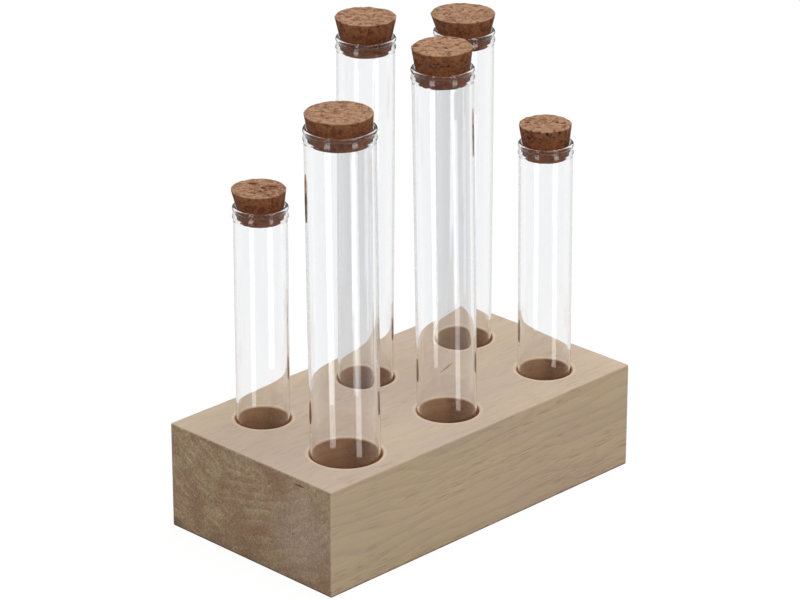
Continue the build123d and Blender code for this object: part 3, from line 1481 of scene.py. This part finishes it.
@dataclass
class PineBlock:
    """The block that the tubes stand in.

    Attributes:
        size: Length along X, width along Y and height.
        edge: How far the edges are broken.
        edge_steps: How many faces go round a broken edge.
        left_end_to_bore: From the -X end to the left column's axes.
        right_end_to_bore: From the +X end to the right column's axes.
        front_to_bore: From the front to the front row's axes.
        back_to_bore: From the back to the back row's axes.
        bore_floor: Height of the bores' floors.
        bore_play: Clearance round a tube.
        mouth_chamfer: How far the bores' mouths are broken.
        dome_gap: From a bore's floor up to its tube's dome.
        sides: How many faces go round a bore.
        crease: Angle in degrees from which an edge stays sharp.
    """

    size: Vector
    edge: float = 0.8 * MM
    edge_steps: int = 4
    left_end_to_bore: float = 32.8 * MM
    right_end_to_bore: float = 30.8 * MM
    front_to_bore: float = 24.2 * MM
    back_to_bore: float = 24.8 * MM
    bore_floor: float = 10.0 * MM
    bore_play: float = 0.6 * MM
    mouth_chamfer: float = 0.5 * MM
    dome_gap: float = 0.2 * MM
    sides: int = 128
    crease: float = 10.0

    def bore_at(self, row: Row, column: Column) -> Vector:
        """Find where a bore's axis meets its floor.

        Args:
            row: The bore's row.
            column: The bore's column.

        Returns:
            The middle of the bore's own floor.
        """
        side_to_bore = self.front_to_bore if row is Row.FRONT else self.back_to_bore
        left = self.left_end_to_bore - self.size.x / 2
        right = self.size.x / 2 - self.right_end_to_bore
        return Vector((left + (right - left) * (column.value + 1) / 2,
                       row.value * (self.size.y / 2 - side_to_bore), self.bore_floor))

    def finish(self, stations: list[Station]) -> SandedPine:
        """Make the wood that fits this block.

        Args:
            stations: What its bores are drilled for.

        Returns:
            The finish.
        """
        bores = []
        for station in stations:
            middle = self.bore_at(station.row, station.column) / MM
            bores.append((middle.x, middle.y, (station.tube.radius + self.bore_play) / MM))
        return SandedPine(tuple(self.size / MM), tuple(bores))

    def seat(self, station: Station) -> Seat:
        """Find where a tube stands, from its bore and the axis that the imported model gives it.

        Args:
            station: The tube's station.

        Returns:
            The tube's seat.
        """
        joint = next(j for j in frame["joints"] if j["child"] == f"{station.name}_tube")
        up = Vector(joint["axis"]).normalized()
        dome_centre = self.bore_at(station.row, station.column)
        dome_centre.z += self.dome_gap + station.tube.radius
        half_way_up = (self.size.z - dome_centre.z) / 2
        dome_centre.x -= half_way_up * up.x / up.z
        dome_centre.y -= half_way_up * up.y / up.z
        return Seat(dome_centre - up * station.tube.radius, up)

    def build(self, name: str, stations: list[Station]) -> Piece:
        """Saw the block, break its edges and drill it.

        Args:
            name: The piece's name.
            stations: What the bores are drilled for.

        Returns:
            The block.
        """
        Bench.clear()
        bpy.ops.mesh.primitive_cube_add(size=1, location=(0, 0, self.size.z / 2), scale=self.size)
        block = Bench.added(name)
        bpy.ops.object.transform_apply(location=True, rotation=True, scale=True)
        bpy.ops.object.mode_set(mode="EDIT")
        bpy.ops.mesh.select_all(action="SELECT")
        bpy.ops.mesh.bevel(offset=self.edge, segments=self.edge_steps, profile=0.5, affect="EDGES")
        bpy.ops.object.mode_set(mode="OBJECT")
        for station in stations:
            drill = self.drill(station)
            cut = block.modifiers.new(station.name, "BOOLEAN")
            cut.operation = "DIFFERENCE"
            cut.solver = "EXACT"
            cut.object = drill
            Bench.apply_modifiers(block)
            bpy.data.objects.remove(drill)
        Bench.smooth(block, self.crease)
        return block

    def drill(self, station: Station) -> Piece:
        """Make the solid that a bore takes out of the block, flared at the mouth.

        Args:
            station: What the bore is drilled for.

        Returns:
            The solid.
        """
        radius = station.tube.radius + self.bore_play
        straight_top = self.size.z - self.mouth_chamfer
        depth = straight_top - self.bore_floor
        middle = self.bore_at(station.row, station.column) + Vector((0, 0, depth / 2))
        Bench.clear()
        bpy.ops.mesh.primitive_cylinder_add(vertices=self.sides, radius=radius, depth=depth,
                                            location=middle)
        drill = Bench.added("drill")
        bpy.ops.object.transform_apply(location=True, rotation=True, scale=True)
        Bench.pick_faces(drill, lambda face: face.normal.z > FACING_UP)
        rise = 2 * self.mouth_chamfer
        bpy.ops.mesh.extrude_region_move(TRANSFORM_OT_translate={"value": (0, 0, rise)})
        flare = (radius + rise) / radius
        bpy.ops.transform.resize(value=(flare, flare, 1), center_override=(middle.x, middle.y, 0))
        bpy.ops.object.mode_set(mode="OBJECT")
        return drill


@dataclass(frozen=True)
class Lamp:
    """A rectangular soft lamp that faces the object.

    Attributes:
        name: The lamp's name.
        at: Where it hangs.
        width: Its level side.
        height: Its other side.
        brightness: How bright its face is, where 1 is white.
    """

    name: str
    at: Triple
    width: float
    height: float
    brightness: float

    def hang(self, aim: Vector) -> None:
        """Hang the lamp.

        Args:
            aim: The point that it faces.
        """
        data = bpy.data.lights.new(self.name, "AREA")
        data.shape = "RECTANGLE"
        data.size = self.width
        data.size_y = self.height
        data.energy = self.brightness * math.pi * self.width * self.height
        lamp = bpy.data.objects.new(self.name, data)
        bpy.context.scene.collection.objects.link(lamp)
        turn = (aim - Vector(self.at)).to_track_quat("-Z", "Y")
        lamp.matrix_world = Matrix.Translation(self.at) @ turn.to_matrix().to_4x4()
        lamp.visible_camera = False


@dataclass
class Studio:
    """The floor, the room, the lamps and the camera.

    Attributes:
        floor_radius: How far the floor reaches.
        floor_inset: Width of the floor's outer ring, as a share of its radius.
        floor_sides: How many edges go round the floor.
        ambient: Brightness of the room for the object's own surfaces.
        backdrop: Brightness of the backdrop, seen through one tube and through two.
        mirrored: Brightness of the room in what glass reflects: in a dusky band round the camera's
            side, in that band behind the object, and elsewhere.
        skin: Brightness elsewhere in what only the glass's outermost surface reflects.
        dusk_tint: Colour of what glass reflects.
        away: From the camera's side at -1 to the far side at 1, where the band's brightness starts
            to change and where it ends.
        band: How high the dusky band lies, as the sine of its angle above the floor.
        band_edge: How far from that the band starts to fade and ends.
        lamps: The soft lamps.
        aim: The point that the lamps face.
        camera_at: Where the camera stands.
        camera_turn: The camera's turn about Z, in radians.
        camera_dip: How far the camera looks down, in radians.
        lens: The camera's focal length, in millimetres.
        sensor: Width of its sensor, in millimetres.
        bounces: How many surfaces light may pass.
    """

    floor_radius: float = 4.0
    floor_inset: float = 0.7
    floor_sides: int = 96
    ambient: float = 0.45
    backdrop: Span = (1.03, 0.83)
    mirrored: Triple = (0.24, 0.9, 0.62)
    skin: float = 0.1
    dusk_tint: Colour = (1.0, 0.985, 0.975, 1)
    away: Span = (-0.5, 0.55)
    band: float = 0.386
    band_edge: Span = (0.08, 0.25)
    lamps: tuple[Lamp, ...] = (
        Lamp("key", (0.25, -0.05, 1.38), 0.9, 0.9, brightness=4.95),
        Lamp("left_strip", (-1.30, -0.14, 0.43), 0.42, 0.34, brightness=3.0),
        Lamp("front_strip", (-0.02, -1.30, 0.43), 0.42, 0.34, brightness=3.0),
    )
    aim: Triple = (0.0, 0.0, 0.1)
    camera_at: Triple = (-1.06017, -1.04877, 0.71957)
    camera_turn: float = -0.789659
    camera_dip: float = 0.396512
    lens: float = 164.18
    sensor: float = 36.0
    bounces: int = 24

    def build(self) -> None:
        """Set the whole studio up."""
        self.lay_floor()
        self.light_room()
        for lamp in self.lamps:
            lamp.hang(Vector(self.aim))
        self.stand_camera()
        self.set_render()

    def lay_floor(self) -> None:
        """Lay the floor, round and flat."""
        Bench.clear()
        bpy.ops.mesh.primitive_circle_add(vertices=self.floor_sides, radius=self.floor_radius,
                                          fill_type="NGON")
        floor = Bench.added("studio_floor")
        bpy.ops.object.mode_set(mode="EDIT")
        bpy.ops.mesh.select_all(action="SELECT")
        bpy.ops.mesh.inset(thickness=self.floor_radius * self.floor_inset)
        bpy.ops.object.mode_set(mode="OBJECT")
        floor.data.materials.append(PaleFloor().material())

    def light_room(self) -> None:
        """Light the room: white where it is looked at, dimmer on the object and in its gloss."""
        world = bpy.data.worlds.new("studio_room")
        bpy.context.scene.world = world
        sheet = NodeSheet.empty(world)
        near, far, elsewhere = self.mirrored
        way = sheet.add("TexCoord").outputs["Generated"]
        behind = sheet.vector("DOT_PRODUCT", way, AWAY)
        level = sheet.remap(behind, *self.away, near, far, smooth=True)
        rise = sheet.vector("DOT_PRODUCT", way, (0.0, 0.0, 1.0))
        off_band = sheet.math("ABSOLUTE", sheet.math("SUBTRACT", rise, self.band))
        passed = sheet.add("LightPath").outputs["Transmission Depth"]
        aside = sheet.remap(passed, 0.0, 1.0, self.skin, elsewhere)
        gloom = sheet.remap(off_band, *self.band_edge, level, aside, smooth=True)

        room = sheet.shade("Background", Color=grey(1.0), Strength=self.ambient)
        backdrop = sheet.shade("Background", Color=grey(1.0),
                               Strength=sheet.white_through(self.backdrop))
        dusk = sheet.shade("Background", Color=self.dusk_tint, Strength=gloom)
        looked_at = sheet.choose(sheet.any_ray(Ray.CAMERA, Ray.TRANSMISSION), room, backdrop)
        sheet.send(sheet.choose(sheet.after_mirror(), looked_at, dusk), "OutputWorld")

    def stand_camera(self) -> None:
        """Stand the camera where the photograph was taken from."""
        data = bpy.data.cameras.new("camera")
        data.lens = self.lens
        data.sensor_width = self.sensor
        camera = bpy.data.objects.new("camera", data)
        bpy.context.scene.collection.objects.link(camera)
        camera.location = self.camera_at
        camera.rotation_euler = (math.pi / 2 - self.camera_dip, 0, self.camera_turn)
        bpy.context.scene.camera = camera

    def set_render(self) -> None:
        """Let light pass through all the walls of glass in line."""
        scene = bpy.context.scene
        scene.view_settings.view_transform = "Standard"
        for kind in ("max_bounces", "transmission_bounces", "transparent_max_bounces"):
            setattr(scene.cycles, kind, self.bounces)
        scene.cycles.caustics_reflective = False
        scene.cycles.caustics_refractive = False


@dataclass
class TestTubeVase:
    """The whole vase.

    Attributes:
        block: The pine block.
        stations: The six bores with their tubes and corks.
        seed: Shift of one cork's granules against those of the cork before it.
    """

    block: PineBlock
    stations: list[Station]
    seed: Triple = (11.3, 5.7, 8.9)

    def place(self, piece: Piece, body: str, node: str, slot: Slot,
              finish: Material) -> None:
        """Finish a piece and let it stand for its node.

        Args:
            piece: The piece, in place.
            body: The body that it moves with.
            node: The node that it stands for.
            slot: The record's slot of its material; not used.
            finish: Its material.
        """
        piece.data.materials.clear()
        piece.data.materials.append(finish)
        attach(piece, body)
        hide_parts(node)
        log.info("%s stands for %s, with %d faces", piece.name, node, len(piece.data.polygons))

    def build(self) -> None:
        """Build and dress every piece."""
        pine = self.block.finish(self.stations).material()
        glass = ClearGlass().material()
        cork = PressedCork().material()
        block = self.block.build("pine_block", self.stations)
        self.place(block, "block", "block", Slot.PINE, pine)
        for count, station in enumerate(self.stations, start=1):
            name = station.name
            seat = self.block.seat(station).matrix()
            tube = station.tube.build(f"glass_{name}")
            Bench.settle(tube, seat)
            self.place(tube, f"{name}_tube", f"tube_{name}", Slot.GLASS, glass)
            stopper = station.cork.build(f"stopper_{name}", Vector(self.seed) * count)
            Bench.settle(stopper, seat)
            self.place(stopper, f"{name}_cork", f"cork_{name}", Slot.CORK, cork)


def main() -> None:
    """Build the vase and the studio round it."""
    logging.basicConfig(level=logging.INFO, format="%(name)s: %(message)s")
    low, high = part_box("block")
    stations = [
        Station.fitted(Row.FRONT, Column.LEFT, tube=(30.8, 189.3), cork=(29.3, 6.6),
                       coarse=0.15, tilt=0.45),
        Station.fitted(Row.FRONT, Column.MIDDLE, tube=(26.8, 200.3), cork=(26.4, 9.4),
                       coarse=0.75, tilt=0.15, wounds=(
                           Wound((-3.0, -7.5), (1.8, 1.6), 0.8),
                           Wound((2.5, 4.0), (1.8, 2.0), 0.8),
                           Wound((210, 5.2), (11.0, 5.0), on_side=True))),
        Station.fitted(Row.FRONT, Column.RIGHT, tube=(24.1, 149.6), cork=(23.6, 8.9),
                       coarse=0.85, tilt=0.35, wounds=(
                           Wound((-4.5, 6.5), (2.4, 2.8), 0.7),
                           Wound((4.5, -3.0), (1.6, 3.0), 0.9),
                           Wound((6.0, -6.0), (2.2, 2.2), 0.8),
                           Wound((187, 4.8), (10.0, 5.4), on_side=True))),
        Station.fitted(Row.BACK, Column.LEFT, tube=(23.8, 140.1), cork=(24.0, 8.0),
                       coarse=0.6, tilt=0.7, wounds=(
                           Wound((5.2, -2.6), (8.0, 7.0), 0.3),
                           Wound((2.2, -0.9), (2.2, 3.4), 1.0),
                           Wound((1.0, -3.6), (2.4, 2.0), 0.9),
                           Wound((6.2, -2.4), (4.6, 1.8), 0.9),
                           Wound((2.5, 6.3), (4.6, 2.6), 1.0),
                           Wound((-5.3, -3.1), (1.8, 1.8), 0.8))),
        Station.fitted(Row.BACK, Column.MIDDLE, tube=(25.8, 201.6), cork=(27.0, 9.39),
                       coarse=0.75, tilt=0.15),
        Station.fitted(Row.BACK, Column.RIGHT, tube=(27.2, 189.7), cork=(29.0, 8.0),
                       coarse=0.5, tilt=0.6),
    ]
    TestTubeVase(PineBlock(high - low), stations).build()
    Studio().build()


if __name__ == "__main__":
    main()
